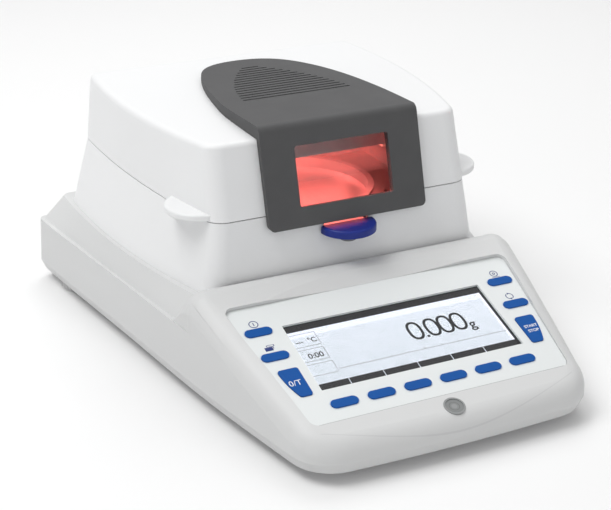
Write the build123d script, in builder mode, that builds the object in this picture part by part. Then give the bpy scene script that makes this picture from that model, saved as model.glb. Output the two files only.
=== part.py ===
from build123d import *
from math import cos, radians, sin, tan
import os

os.makedirs("parts", exist_ok=True)

# Overall size of the instrument: X is its width, -Y its front, Z is up from the table.
base_depth = 328
base_half_width = 129
nose_share = 0.66
nose_splay = 0.18
nose_bow = 3
console_share = 0.794
console_side_run = 102
flank_share = 0.886
flank_side_run = 199
flank_splay = 0.1
straight_side_run = 320
base_front_corner = 24
base_rear_corner = 5
tuck_height = 6
bottom_tuck = 1
belly_swell = 1.5
nose_tuck = 2
ledge_halves = (102, 117.5, 127)
deck_spread = 3
shoulder_wrap = 4
shoulder_corner = 13
rim_round = 12
chamber_gap = 0.2
housing_bottom = 7
shoulder_height = 42
deck_height = 55.3
wall = 3
console_wall = 4.6
y_front = -base_depth / 2
y_rear = base_depth / 2
console_side_y = y_front + console_side_run
flank_side_y = y_front + flank_side_run
straight_side_y = y_front + straight_side_run

# Console: the sloping panel that carries the keys and the display.
panel_tilt = 17.8
key_row_y = y_front + 29.5
key_row_z = 32
rim_proud = 0.4
rim_rear_proud = 3
scoop_reach = 9.5
scoop_slope = 33
membrane_thickness = 1.2
membrane_top_v = 82.4
membrane_bottom_v = -11.6
membrane_top_half = 90.7
membrane_bottom_half = 78.6
membrane_corner = 5
membrane_gap = 0.15
membrane_seat = 1.2

# Chamber and hood: section half widths at the front, the middle and the rear.
foot_halves = (86, 108, 109)
parting_halves = (81.5, 97, 97)
crown_halves = (79, 96, 92)
parting_height = 96.6
parting_gap = 0.6
crown_height = 139
foot_front_y = y_front + 131
parting_front_y = y_front + 136.5
crown_front_y = y_front + 148
chamber_rear_y = y_rear - 11.5
chamber_mid_y = chamber_rear_y - 72
front_corner = 11
rear_corner = 6
hood_wall = 2.6
crown_round = 3.5

# Dark cover of the hood, with its window and its louvred grille.
cover_half_width = 50.5
cover_thickness = 4.6
cover_rise = 8
cover_top = crown_height + cover_rise
cover_drop = 7.6
cover_bottom = parting_height - cover_drop
cover_lean = 14.75
cover_proud = 4
cover_fall = 5
cover_bend = 4.5
cover_length = 161
cover_straight = 34
cover_corner = 3.2
window_width = 60
window_height = 35
window_above_edge = 11.4
window_corner = 1.5
glass_thickness = 2.5
glass_gap = 0.1
grille_count = 15
grille_pitch = 5
grille_slot = 1.6
grille_run = 70
grille_power = 2.6
vent_length = 60
grille_margin = 13
seat_gap = 0.2

# Hood hinge: two barrels behind the rear wall at the parting height.
hinge_y = y_rear - 5
hinge_x = 62
hinge_pin_radius = 2.5
hinge_barrel_radius = 5
hinge_knuckle_length = 14
hinge_lug_length = 6
hinge_side_gap = 0.3
running_gap = 0.06

# Lifting tabs of the hood.
tab_radius = 21
tab_centre_x = 79
tab_y = parting_front_y + 26.5
tab_thickness = 4

# Weighing place: sample pan, its holder, its handler and the draft shield.
pan_y = parting_front_y + 69.5
pan_radius = 47
pan_height = 7
pan_wall = 0.8
pan_lip = 3
pan_floor_z = 79
holder_stem_radius = 4
holder_arm_width = 8
holder_thickness = 2.5
holder_ring_radius = 30
handler_ring_outer = 57
handler_ring_inner = 49
handler_thickness = 3
handler_gap = 0.4
grip_radius = 17
grip_reach = 3
grip_thickness = 4.6
grip_top = 86.4
handler_arm_width = 26
handler_travel = 2
slot_clearance = 1.5
floor_thickness = 1.5
floor_gap = 0.7
stem_clearance = 2
shield_radius = 66
shield_height = 14
shield_wall = 1.5

# Heater in the hood.
reflector_half_x = 66
reflector_front_y = pan_y - 42
reflector_rear_y = pan_y + 68
reflector_top = 132
reflector_height = 14
reflector_flare = 9
sheet = 1.2
rail_thickness = 4
lamp_radius = 5
lamp_z = 111.5
lamp_spacing = 44
lamp_length = 108
socket_length = 8
socket_size = 12
guard_thickness = 2.5
guard_z = 101
probe_radius = 1.6
probe_length = 26
post_radius = 3

# Keys: capsules in a row, smaller ones at the sides, and two large corner keys.
soft_key_count = 6
soft_key_pitch = 22
key_length = 16
key_width = 5.8
key_proud = 0.7
key_depth = 3.2
key_gap = 0.15
key_travel = 0.4
key_stem_radius = 1.6
side_key_u = (77.3, 76.2)
side_key_v = (62, 42)
corner_key_u = 74.3
corner_key_v = 20.5
corner_key_top = 12
corner_key_bottom = 7
corner_key_height = 21
corner_key_round = 1.6

# Display and electronics under the panel.
lcd_half_width = 62.7
lcd_bottom_v = 11.5
lcd_top_v = 63.3
lcd_thickness = 3.5
board_thickness = 1.6
board_gap = 0.5
spacer_radius = 2.5
level_v = -20.4
level_proud = 0.8
vial_sink = 0.4
level_radius = 5
level_depth = 5
level_ring_wall = 1

# Inside and under the base.
plate_thickness = 2
plate_gap = 0.3
front_foot_radius = 10
front_foot_x = 66
front_foot_y = y_front + 46
level_foot_x = base_half_width - 20
level_foot_y = y_rear - 28
level_foot_radius = 15
level_foot_height = 8
level_foot_pad = 1.2
level_foot_lobes = 28
foot_stud_radius = 3
foot_boss_radius = 16.5
foot_boss_top = 30
stud_engagement = 14
cell_width = 46
cell_length = 86
cell_height = 24
cell_y = pan_y - 2
magnet_radius = 17
magnet_height = 20
standoff_height = 4
board_width = 120
board_length = 70
main_board_y = cell_y - cell_length / 2 - 24
supply_width = 50
supply_length = 58
supply_height = 26
inlet_x = 66
supply_x = inlet_x
inlet_z = 27
inlet_width = 27
inlet_height = 20
inlet_depth = 20
inlet_wall = 2.5
inlet_recess = 16
pin_spread = 7
pin_rise = 1.5
pin_size = (2, 12, 4)
supply_gap = 6
port_x = -60
port_width = 31
port_height = 12.5
port_depth = 10
port_recess = 5
port_lip = 6
usb_x = -14
usb_width = 13
usb_height = 12
usb_recess = 8
usb_wall = 2
screw_front_run = 74
screw_rear_run = 64
screw_front_inset = 49
screw_rear_inset = 33
screw_radius = 2
screw_head_radius = 3.5
screw_head_height = 2
screw_length = 9

supply_y = y_rear - inlet_depth - supply_gap - supply_length / 2
slope = tan(radians(panel_tilt))
panel = Plane(
    origin=(0, key_row_y, key_row_z),
    x_dir=(1, 0, 0),
    z_dir=(0, -sin(radians(panel_tilt)), cos(radians(panel_tilt))),
)


def panel_z(y):
    """Height of the panel's face at a distance along the base."""
    return key_row_z + (y - key_row_y) * slope


def write(part, name):
    """Label a finished piece and write it under its own name."""
    part.label = name
    export_step(part, f"parts/{name}.step")


def chamber_section(z, halves, front, inset=0.0, rear=None):
    """One level section of the chamber: straight front and rear, bowed sides."""
    back = (chamber_rear_y if rear is None else rear) - inset
    near, middle, far = (half - inset for half in halves)
    start = front + inset
    with BuildSketch(Plane.XY.offset(z)) as section:
        with BuildLine():
            Line((-near, start), (near, start))
            ThreePointArc((near, start), (middle, chamber_mid_y), (far, back))
            Line((far, back), (-far, back))
            ThreePointArc((-far, back), (-middle, chamber_mid_y), (-near, start))
        make_face()
        fillet(section.vertices().group_by(Axis.Y)[0], front_corner - inset)
        fillet(section.vertices().group_by(Axis.Y)[-1], rear_corner - inset)
    return section.sketch


def base_section(z, growth, front_back, inset=0.0):
    """One level section of the base, widest at the rear and tapering to the front."""
    half = base_half_width + growth - inset
    start = y_front + nose_bow + front_back + inset
    back = y_rear - inset
    with BuildSketch(Plane.XY.offset(z)) as section:
        with BuildLine():
            right = Spline(
                (half * nose_share, start),
                (half * console_share, console_side_y),
                (half * flank_share, flank_side_y),
                (half, straight_side_y),
                tangents=((nose_splay, 1), (flank_splay, 1)),
            )
            Line((half, straight_side_y), (half, back))
            Line((half, back), (-half, back))
            Line((-half, back), (-half, straight_side_y))
            left = Spline(
                (-half, straight_side_y),
                (-half * flank_share, flank_side_y),
                (-half * console_share, console_side_y),
                (-half * nose_share, start),
                tangents=((flank_splay, -1), (nose_splay, -1)),
            )
            ThreePointArc(left @ 1, (0, start - nose_bow), right @ 0)
        make_face()
        fillet(section.vertices().group_by(Axis.Y)[0], base_front_corner - inset)
        fillet(section.vertices().group_by(Axis.Y)[-1], base_rear_corner - inset)
    return section.sketch


def rim_z(y):
    """Height of the console's rim, which stands a little more proud towards the rear."""
    share = (y - y_front) / (foot_front_y - y_front)
    return panel_z(y) + rim_proud + (rim_rear_proud - rim_proud) * share


def shoulder_outline(z, inset):
    """The raised console in plan: the base's front with rounded shoulders beside the chamber."""
    with BuildSketch(Plane.XY.offset(z)) as outline:
        add(base_section(z, 0, 0, inset))
        with Locations((0, foot_front_y + shoulder_wrap - inset)):
            Rectangle(4 * base_half_width, base_depth, align=(Align.CENTER, Align.MAX), mode=Mode.INTERSECT)
        fillet(outline.vertices().group_by(Axis.Y)[-1], shoulder_corner - inset)
    return outline.sketch


def base_block(inset, bottom, roof_drop):
    """The base's outer form, or the hollow inside it when inset by the wall."""
    belly = housing_bottom + tuck_height
    shoulder = shoulder_height - roof_drop
    deck = deck_height - roof_drop
    deck_halves = tuple(half + deck_spread for half in foot_halves)
    drop = console_wall if roof_drop else 0
    ledge_front = foot_front_y - shoulder_corner / 2
    crest_y = foot_front_y + shoulder_wrap - inset
    with BuildPart() as console:
        loft([base_section(belly, belly_swell, 0, inset), base_section(shoulder, 0, 0, inset)], ruled=True)
        add(shoulder_outline(shoulder, inset))
        extrude(amount=rim_z(crest_y + shoulder_corner) - shoulder)
        with BuildSketch(Plane.YZ):
            Polygon(
                (y_front - base_depth, rim_z(y_front - base_depth) - drop),
                (y_rear, rim_z(y_rear) - drop),
                (y_rear, rim_z(y_rear) + base_depth),
                (y_front - base_depth, rim_z(y_rear) + base_depth),
                align=None,
            )
        extrude(amount=2 * base_half_width, both=True, mode=Mode.SUBTRACT)
        if not roof_drop:
            middle_y = (y_front + crest_y) / 2
            crown = console.faces().sort_by_distance((0, middle_y, rim_z(middle_y)))[0]
            fillet(crown.edges(), rim_round)
    with BuildPart() as block:
        add(console)
        loft(
            [base_section(bottom, -bottom_tuck, nose_tuck, inset), base_section(belly, belly_swell, 0, inset)],
            ruled=True,
        )
        loft(
            [
                chamber_section(shoulder, ledge_halves, ledge_front, inset, y_rear),
                chamber_section(deck, deck_halves, ledge_front, inset, y_rear),
            ],
            ruled=True,
        )
    return block.part


def scoop():
    """The hollow behind the keypad: a wide cone that rises from the panel to the rim."""
    half = membrane_top_half
    top_y = key_row_y + membrane_top_v * cos(radians(panel_tilt)) + scoop_reach
    radius = (half ** 2 + scoop_reach ** 2) / (2 * scoop_reach)
    top_z = rim_z(top_y)
    depth = 2 * scoop_reach * tan(radians(scoop_slope))
    with BuildPart() as hollow:
        with BuildSketch(Plane.XY.offset(top_z - depth)):
            with Locations((0, top_y - radius)):
                Circle(radius - 2 * scoop_reach)
        with BuildSketch(Plane.XY.offset(top_z)):
            with Locations((0, top_y - radius)):
                Circle(radius)
        with BuildSketch(Plane.XY.offset(top_z + depth)):
            with Locations((0, top_y - radius)):
                Circle(radius + 2 * scoop_reach)
        loft(ruled=True)
        with BuildSketch(Plane.YZ):
            front = key_row_y + membrane_top_v * cos(radians(panel_tilt)) - 2 * membrane_corner
            Polygon(
                (front, panel_z(front)),
                (front, top_z + depth),
                (top_y + scoop_reach, top_z + depth),
                (top_y + scoop_reach, panel_z(top_y + scoop_reach)),
                align=None,
            )
        extrude(amount=half, both=True, mode=Mode.INTERSECT)
    return hollow.part


def membrane_outline(grow=0.0):
    """The keypad's outline on the panel: narrower at the front, with round corners."""
    with BuildSketch(panel) as outline:
        with BuildLine():
            Polyline(
                (-membrane_bottom_half - grow, membrane_bottom_v - grow),
                (membrane_bottom_half + grow, membrane_bottom_v - grow),
                (membrane_top_half + grow, membrane_top_v + grow),
                (-membrane_top_half - grow, membrane_top_v + grow),
                close=True,
            )
        make_face()
        fillet(outline.vertices(), membrane_corner + grow)
    return outline.sketch


def key_places():
    """Every capsule key's name and its place on the panel."""
    places = []
    for index in range(soft_key_count):
        places.append((f"soft_key_{index + 1}", (index - (soft_key_count - 1) / 2) * soft_key_pitch, 0))
    for side, sign in (("left", -1), ("right", 1)):
        for order, u, v in zip(("upper", "lower"), side_key_u, side_key_v):
            places.append((f"{side}_key_{order}", sign * u, v))
    return places


def corner_key_outline(sign, plane, grow=0.0):
    """A large corner key: wide at the top, narrow at the bottom, bowed outside."""
    top_half = corner_key_top / 2 + grow
    bottom_half = corner_key_bottom / 2 + grow
    half_height = corner_key_height / 2 + grow
    lean = (corner_key_top - corner_key_bottom) / 2
    with BuildSketch(plane) as outline:
        with BuildLine():
            inner = sign * (corner_key_u - top_half)
            outer_top = sign * (corner_key_u + top_half)
            outer_bottom = sign * (corner_key_u + bottom_half - lean)
            Line((inner, corner_key_v - half_height), (inner, corner_key_v + half_height))
            Line((inner, corner_key_v + half_height), (outer_top, corner_key_v + half_height))
            ThreePointArc(
                (outer_top, corner_key_v + half_height),
                ((outer_top + outer_bottom) / 2 + sign * 1.0, corner_key_v),
                (outer_bottom, corner_key_v - half_height),
            )
            Line((outer_bottom, corner_key_v - half_height), (inner, corner_key_v - half_height))
        make_face()
        fillet(outline.vertices(), corner_key_round + grow)
    return outline.sketch


def disc(centre, z, radius, height, hole=0.0):
    """A level disc or ring with its underside at a height."""
    with BuildPart() as ring:
        with BuildSketch(Plane.XY.offset(z)):
            with Locations(centre):
                Circle(radius)
                if hole:
                    Circle(hole, mode=Mode.SUBTRACT)
        extrude(amount=height)
    return ring.part


def box(centre, z, size):
    """A level block with its underside at a height."""
    with BuildPart() as block:
        with BuildSketch(Plane.XY.offset(z)):
            with Locations(centre):
                Rectangle(size[0], size[1])
        extrude(amount=size[2])
    return block.part


def barrel(x, length, radius, hole=0.0):
    """A hinge barrel along X round the hood's pivot line."""
    with BuildPart() as roll:
        with BuildSketch(Plane.YZ.offset(x - length / 2)):
            with Locations((hinge_y, parting_height)):
                Circle(radius)
                if hole:
                    Circle(hole, mode=Mode.SUBTRACT)
        extrude(amount=length)
    return roll.part


plate_top = housing_bottom + plate_thickness
deck_inner = deck_height - wall
feet_places = [(-level_foot_x, level_foot_y), (level_foot_x, level_foot_y)]
front_feet_places = [(-front_foot_x, front_foot_y), (front_foot_x, front_foot_y)]
screw_places = [
    (-base_half_width + screw_front_inset, y_front + screw_front_run),
    (base_half_width - screw_front_inset, y_front + screw_front_run),
    (-base_half_width + screw_rear_inset, y_rear - screw_rear_run),
    (base_half_width - screw_rear_inset, y_rear - screw_rear_run),
]
switch_depth = key_depth + board_gap + key_travel
board_plane = panel.offset(-switch_depth)
inlet_cut = (inlet_x, inlet_z, inlet_width, inlet_height)
port_cut = (port_x, inlet_z, port_width, port_height)
usb_cut = (usb_x, inlet_z, usb_width, usb_height)

# Base housing: one moulding with the console, the deck under the chamber and the ledge.
with BuildPart() as base_housing:
    add(base_block(0, housing_bottom, 0))
    add(base_block(wall, housing_bottom - 1, wall), mode=Mode.SUBTRACT)
    add(scoop(), mode=Mode.SUBTRACT)
    loft(
        [
            chamber_section(deck_height, foot_halves, foot_front_y, -chamber_gap),
            chamber_section(parting_height, parting_halves, parting_front_y, -chamber_gap),
        ],
        ruled=True,
        mode=Mode.SUBTRACT,
    )
    add(membrane_outline(membrane_gap))
    extrude(amount=3 * rim_rear_proud, dir=panel.z_dir, mode=Mode.SUBTRACT)
    add(membrane_outline(membrane_gap))
    extrude(amount=membrane_thickness, dir=-panel.z_dir, mode=Mode.SUBTRACT)
    add(membrane_outline(-membrane_seat))
    extrude(amount=3 * wall, dir=-panel.z_dir, mode=Mode.SUBTRACT)
    with BuildSketch(panel.offset(level_depth)):
        with Locations((0, level_v)):
            Circle(level_radius + level_ring_wall)
    extrude(amount=-2 * level_depth - level_ring_wall, mode=Mode.SUBTRACT)
    with BuildSketch(Plane.XY.offset(deck_height)):
        with Locations((0, pan_y)):
            Circle(holder_stem_radius + stem_clearance)
    extrude(amount=-wall, mode=Mode.SUBTRACT)
    with BuildSketch(Plane.XZ.offset(-y_rear)):
        for x, z, width, height in (inlet_cut, port_cut, usb_cut):
            with Locations((x, z)):
                Rectangle(width, height)
    extrude(amount=2 * wall, mode=Mode.SUBTRACT)
    for place in feet_places:
        add(disc(place, plate_top + plate_gap, foot_boss_radius, foot_boss_top - plate_top))
    for place in feet_places:
        with BuildSketch(Plane.XY.offset(housing_bottom)):
            with Locations(place):
                Circle(foot_stud_radius + running_gap)
        extrude(amount=foot_boss_top, mode=Mode.SUBTRACT)
write(base_housing.part, "base_housing")

# Base plate: the sheet floor that closes the housing from below.
with BuildPart() as base_plate:
    add(base_section(housing_bottom, -bottom_tuck, nose_tuck, wall + plate_gap))
    extrude(amount=plate_thickness)
    with BuildSketch(Plane.XY.offset(housing_bottom)):
        with Locations(*feet_places):
            Circle(foot_stud_radius + 1)
        with Locations(*screw_places):
            Circle(screw_radius)
    extrude(amount=plate_thickness, mode=Mode.SUBTRACT)
write(base_plate.part, "base_plate")

# Lower chamber shell: leaning walls, with a slot at the front for the pan handler's arm.
slot_bottom = grip_top - grip_thickness - slot_clearance
with BuildPart() as lower_chamber:
    loft([chamber_section(deck_height, foot_halves, foot_front_y),
          chamber_section(parting_height, parting_halves, parting_front_y)], ruled=True)
    loft([chamber_section(deck_height, foot_halves, foot_front_y, wall),
          chamber_section(parting_height, parting_halves, parting_front_y, wall)], ruled=True,
         mode=Mode.SUBTRACT)
    with BuildSketch(Plane.XZ.offset(-parting_front_y)):
        with Locations((0, slot_bottom)):
            Rectangle(handler_arm_width + 2 * slot_clearance, parting_height,
                      align=(Align.CENTER, Align.MIN))
    extrude(amount=4 * wall, both=True, mode=Mode.SUBTRACT)
write(lower_chamber.part, "lower_chamber")

# Chamber floor: a sheet tray with the hole that the holder's stem passes through.
floor_top = deck_height + floor_thickness
with BuildPart() as chamber_floor:
    add(chamber_section(deck_height, foot_halves, foot_front_y, wall + floor_gap))
    extrude(amount=floor_thickness)
    with BuildSketch(Plane.XY.offset(deck_height)):
        with Locations((0, pan_y)):
            Circle(holder_stem_radius + stem_clearance)
    extrude(amount=floor_thickness, mode=Mode.SUBTRACT)
write(chamber_floor.part, "chamber_floor")

# Draft shield: a low ring that keeps air currents off the holder.
write(disc((0, pan_y), floor_top, shield_radius, shield_height, shield_radius - shield_wall), "draft_shield")

# Pan holder: stem, cross and ring that carry the pan on the weighing cell.
cell_top = plate_top + standoff_height + cell_height
with BuildPart() as pan_holder:
    add(disc((0, pan_y), cell_top, holder_stem_radius, pan_floor_z - holder_thickness - cell_top))
    with BuildSketch(Plane.XY.offset(pan_floor_z - holder_thickness)):
        with Locations((0, pan_y)):
            Circle(holder_ring_radius)
            Circle(holder_ring_radius - holder_arm_width, mode=Mode.SUBTRACT)
            Rectangle(2 * holder_ring_radius - holder_arm_width, holder_arm_width)
            Rectangle(holder_arm_width, 2 * holder_ring_radius - holder_arm_width)
    extrude(amount=holder_thickness)
write(pan_holder.part, "pan_holder")

# Sample pan: a shallow pressed dish with a rolled lip.
with BuildPart() as sample_pan:
    with BuildSketch(Plane.XZ.offset(-pan_y)):
        with BuildLine():
            Polyline(
                (0, pan_floor_z),
                (pan_radius - pan_wall, pan_floor_z),
                (pan_radius, pan_floor_z + pan_height - pan_wall),
                (pan_radius + pan_lip, pan_floor_z + pan_height - pan_wall),
                (pan_radius + pan_lip, pan_floor_z + pan_height),
                (pan_radius - pan_wall, pan_floor_z + pan_height),
                (pan_radius - 2 * pan_wall, pan_floor_z + pan_wall),
                (0, pan_floor_z + pan_wall),
                close=True,
            )
        make_face()
    revolve(axis=Axis((0, pan_y, 0), (0, 0, 1)))
write(sample_pan.part, "sample_pan")

# Pan handler: the ring under the pan's lip, its arm through the slot, and the blue grip.
handler_top = pan_floor_z + pan_height - pan_wall - handler_gap
grip_y = parting_front_y - grip_reach
with BuildPart() as pan_handler:
    add(disc((0, pan_y), handler_top - handler_thickness, handler_ring_outer, handler_thickness))
    with BuildSketch(Plane.XY.offset(handler_top - handler_thickness)):
        with Locations((0, grip_y)):
            Rectangle(handler_arm_width, pan_y - grip_y, align=(Align.CENTER, Align.MIN))
    extrude(amount=handler_thickness)
    with BuildSketch(Plane.XY.offset(handler_top - handler_thickness)):
        with Locations((0, pan_y)):
            Circle(handler_ring_inner)
    extrude(amount=handler_thickness, mode=Mode.SUBTRACT)
write(pan_handler.part, "pan_handler_arm")

with BuildPart() as handler_grip:
    with BuildSketch(Plane.XY.offset(grip_top - grip_thickness)):
        with Locations((0, grip_y)):
            Circle(grip_radius)
            Rectangle(3 * grip_radius, 2 * grip_radius, align=(Align.CENTER, Align.MIN), mode=Mode.SUBTRACT)
    extrude(amount=grip_thickness)
    fillet(handler_grip.edges().group_by(Axis.Z)[-1].filter_by(GeomType.CIRCLE), 1.5)
write(handler_grip.part, "handler_grip")

hood_bottom = parting_height + parting_gap
hood_lean = (crown_front_y - parting_front_y) / (crown_height - hood_bottom)
crown_seat = crown_height + seat_gap
cover_lean_slope = tan(radians(cover_lean))


def cover_inner_y(z):
    """The cover's inner face, a seating gap in front of the hood's leaning front."""
    return parting_front_y - seat_gap + (z - hood_bottom) * hood_lean


cover_bottom_y = cover_inner_y(cover_bottom) - cover_proud
cover_tip_y = cover_bottom_y + cover_length
front_top_y = cover_bottom_y + (cover_top - cover_bottom) * cover_lean_slope

# Hood shell: a thin-walled cap, open below, behind the dark cover and over the heater.
with BuildPart() as hood_shell:
    loft([chamber_section(hood_bottom, parting_halves, parting_front_y),
          chamber_section(crown_height, crown_halves, crown_front_y)], ruled=True)
    fillet(hood_shell.edges().group_by(Axis.Z)[-1], crown_round)
    loft([chamber_section(hood_bottom, parting_halves, parting_front_y, hood_wall),
          chamber_section(crown_height - hood_wall, crown_halves, crown_front_y, hood_wall)],
         ruled=True, mode=Mode.SUBTRACT)
    with BuildSketch(Plane.XZ.offset(-parting_front_y)):
        with Locations((0, cover_bottom + window_above_edge + window_height / 2)):
            Rectangle(window_width + 8, window_height + 6)
    extrude(amount=-30, both=True, mode=Mode.SUBTRACT)
    with BuildSketch(Plane.XY.offset(crown_height - 2 * hood_wall)):
        with Locations((0, cover_bottom_y + grille_run)):
            Rectangle(2 * (cover_half_width - 2 * grille_margin), vent_length, align=(Align.CENTER, Align.MIN))
    extrude(amount=3 * hood_wall, mode=Mode.SUBTRACT)
write(hood_shell.part, "hood_shell")

# Dark cover: the leaning window panel that bends over into the long round tongue on the crown.
front_face = Plane(
    origin=(0, cover_bottom_y, cover_bottom),
    x_dir=(1, 0, 0),
    z_dir=(0, -cos(radians(cover_lean)), sin(radians(cover_lean))),
)


def tongue_outline(z, inset=0.0):
    """The cover in plan: straight sides, then a full round tip at the rear."""
    half = cover_half_width - inset
    near = cover_bottom_y + cover_straight
    reach = cover_length - cover_straight - inset
    with BuildSketch(Plane.XY.offset(z)) as outline:
        with BuildLine():
            Polyline((-half, near), (-half, cover_bottom_y - cover_bend), (half, cover_bottom_y - cover_bend),
                     (half, near))
            side = ((half, near), (half * 0.96, near + reach * 0.35), (half * 0.72, near + reach * 0.78),
                    (0, near + reach))
            Spline(*side, tangents=((0, 1), (-1, 0)))
            Spline(*[(-x, y) for x, y in reversed(side)], tangents=((-1, 0), (0, -1)))
        make_face()
    return outline.sketch


with BuildPart() as hood_cover:
    with BuildSketch(Plane.YZ) as cover_side:
        with BuildLine():
            Polyline(
                (cover_bottom_y, cover_bottom),
                (front_top_y, cover_top),
                (cover_tip_y, cover_top - cover_fall),
                (cover_tip_y, crown_seat),
                (cover_inner_y(crown_seat), crown_seat),
                (cover_inner_y(cover_bottom), cover_bottom),
                close=True,
            )
        make_face()
        bend = cover_side.vertices().sort_by_distance((front_top_y, cover_top))[0]
        fillet(bend, cover_bend)
    extrude(amount=cover_half_width, both=True)
    add(tongue_outline(cover_bottom))
    extrude(amount=cover_top, mode=Mode.INTERSECT)
    bottom_corners = (
        hood_cover.edges().filter_by(Axis.Y, tolerance=25).group_by(Axis.Z)[0].sort_by(Axis.X)
    )
    fillet([bottom_corners[0], bottom_corners[-1]], cover_corner)
    with BuildSketch(front_face):
        with Locations((0, window_above_edge + window_height / 2)):
            RectangleRounded(window_width, window_height, window_corner)
    extrude(amount=-3 * cover_thickness, mode=Mode.SUBTRACT)
    with BuildSketch(Plane.XY.offset(crown_height)):
        for index in range(grille_count):
            y = cover_bottom_y + grille_run + index * grille_pitch
            share = (y - cover_bottom_y - cover_straight) / (cover_length - cover_straight)
            half = cover_half_width * (1 - share ** grille_power) - grille_margin
            with Locations((0, y)):
                SlotOverall(2 * half, grille_slot)
    extrude(amount=cover_top, mode=Mode.SUBTRACT)
write(hood_cover.part, "hood_cover")

# Window glass: a pane let into the dark cover.
with BuildPart() as window_glass:
    with BuildSketch(front_face.offset(-glass_thickness / 2)):
        with Locations((0, window_above_edge + window_height / 2)):
            RectangleRounded(window_width - 2 * glass_gap, window_height - 2 * glass_gap,
                             window_corner - glass_gap)
    extrude(amount=-glass_thickness)
write(window_glass.part, "window_glass")

# Lifting tabs: half discs on the hood's sides just above the parting line.
hood_core = loft([chamber_section(hood_bottom, parting_halves, parting_front_y),
                  chamber_section(crown_height, crown_halves, crown_front_y)], ruled=True)
for side, sign in (("left", -1), ("right", 1)):
    with BuildPart() as tab:
        add(disc((sign * tab_centre_x, tab_y), hood_bottom, tab_radius, tab_thickness))
        fillet(tab.edges().group_by(Axis.Z)[-1], 1.2)
        fillet(tab.edges().group_by(Axis.Z)[0], 1.2)
        add(hood_core, mode=Mode.SUBTRACT)
    write(tab.part, f"lift_tab_{side}")

# Heater: reflector, two straight lamps in end sockets, the glass guard and the probe.
reflector_length = reflector_rear_y - reflector_front_y
reflector_y = (reflector_front_y + reflector_rear_y) / 2


def tray(grow, top):
    """The reflector's flared form, widest at its open underside."""
    with BuildPart() as form:
        with BuildSketch(Plane.XY.offset(top)):
            with Locations((0, reflector_y)):
                Rectangle(2 * (reflector_half_x - reflector_flare + grow),
                          reflector_length - 2 * reflector_flare + 2 * grow)
        with BuildSketch(Plane.XY.offset(reflector_top - reflector_height)):
            with Locations((0, reflector_y)):
                Rectangle(2 * (reflector_half_x + grow), reflector_length + 2 * grow)
        loft()
    return form.part


with BuildPart() as reflector:
    add(tray(0, reflector_top))
    add(tray(-sheet, reflector_top - sheet), mode=Mode.SUBTRACT)
write(reflector.part, "reflector")

lamp_rows = (reflector_y - lamp_spacing / 2, reflector_y + lamp_spacing / 2)
with BuildPart() as heater_lamps:
    for y in lamp_rows:
        with BuildSketch(Plane.YZ.offset(-lamp_length / 2)):
            with Locations((y, lamp_z)):
                Circle(lamp_radius)
        extrude(amount=lamp_length)
write(heater_lamps.part, "heater_lamps")

with BuildPart() as lamp_sockets:
    for y in lamp_rows:
        for sign in (-1, 1):
            x = sign * (lamp_length + socket_length) / 2
            add(box((x, y), lamp_z - socket_size / 2, (socket_length, socket_size, socket_size)))
write(lamp_sockets.part, "lamp_sockets")

# Heater frame: side rails that carry the sockets and the guard, and posts up to the crown.
rail_x = lamp_length / 2 + socket_length + rail_thickness / 2
rail_bottom = guard_z + guard_thickness
rail_top = reflector_top - reflector_height
with BuildPart() as heater_frame:
    for sign in (-1, 1):
        add(box((sign * rail_x, reflector_y), rail_bottom,
                (rail_thickness, reflector_length, rail_top - rail_bottom)))
write(heater_frame.part, "heater_frame")

with BuildPart() as heater_posts:
    for sx in (-1, 1):
        for sy in (-1, 1):
            place = (sx * (reflector_half_x - 2 * reflector_flare), reflector_y + sy * reflector_length * 0.36)
            add(disc(place, reflector_top, post_radius, crown_height - hood_wall - reflector_top))
write(heater_posts.part, "heater_posts")

write(box((0, reflector_y), guard_z, (2 * rail_x, reflector_length - 6, guard_thickness)),
      "lamp_guard")

with BuildPart() as temperature_probe:
    add(disc((0, reflector_y), reflector_top - sheet - probe_length, probe_radius, probe_length))
write(temperature_probe.part, "temperature_probe")

# Hood hinge: lugs on the deck, knuckles on the hood, and the pins through them.
with BuildPart() as hinge_brackets:
    for sign in (-1, 1):
        for side in (-1, 1):
            x = sign * hinge_x + side * (hinge_knuckle_length / 2 + hinge_side_gap + hinge_lug_length / 2)
            add(barrel(x, hinge_lug_length, hinge_barrel_radius))
            add(box((x, hinge_y), deck_height,
                    (hinge_lug_length, 2 * hinge_barrel_radius, parting_height - deck_height)))
        pitch = hinge_knuckle_length + 2 * hinge_side_gap + 2 * hinge_lug_length
        add(box((sign * hinge_x, hinge_y), deck_height, (pitch, 2 * hinge_barrel_radius, 4)))
        add(barrel(sign * hinge_x, 2 * pitch, hinge_pin_radius), mode=Mode.SUBTRACT)
write(hinge_brackets.part, "hinge_brackets")

with BuildPart() as hinge_pins:
    for sign in (-1, 1):
        length = hinge_knuckle_length + 2 * hinge_side_gap + 2 * hinge_lug_length
        add(barrel(sign * hinge_x, length, hinge_pin_radius))
write(hinge_pins.part, "hinge_pins")

with BuildPart() as hinge_knuckles:
    for sign in (-1, 1):
        add(barrel(sign * hinge_x, hinge_knuckle_length, hinge_barrel_radius))
        web = hinge_y - chamber_rear_y
        add(box((sign * hinge_x, chamber_rear_y + web / 2), hood_bottom + 1,
                (hinge_knuckle_length, web, hinge_barrel_radius + 6)))
        add(barrel(sign * hinge_x, 2 * hinge_knuckle_length, hinge_pin_radius + running_gap),
            mode=Mode.SUBTRACT)
write(hinge_knuckles.part, "hinge_knuckles")

# Keys: capsules and corner keys, each on a short stem over its switch.
for name, u, v in key_places():
    with BuildPart() as key:
        with BuildSketch(panel.offset(key_proud)):
            with Locations((u, v)):
                SlotOverall(key_length, key_width)
        extrude(amount=-key_proud - membrane_thickness - key_travel)
        with BuildSketch(panel.offset(key_proud)):
            with Locations((u, v)):
                Circle(key_stem_radius)
        extrude(amount=-key_proud - key_depth)
    write(key.part, name)

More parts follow.
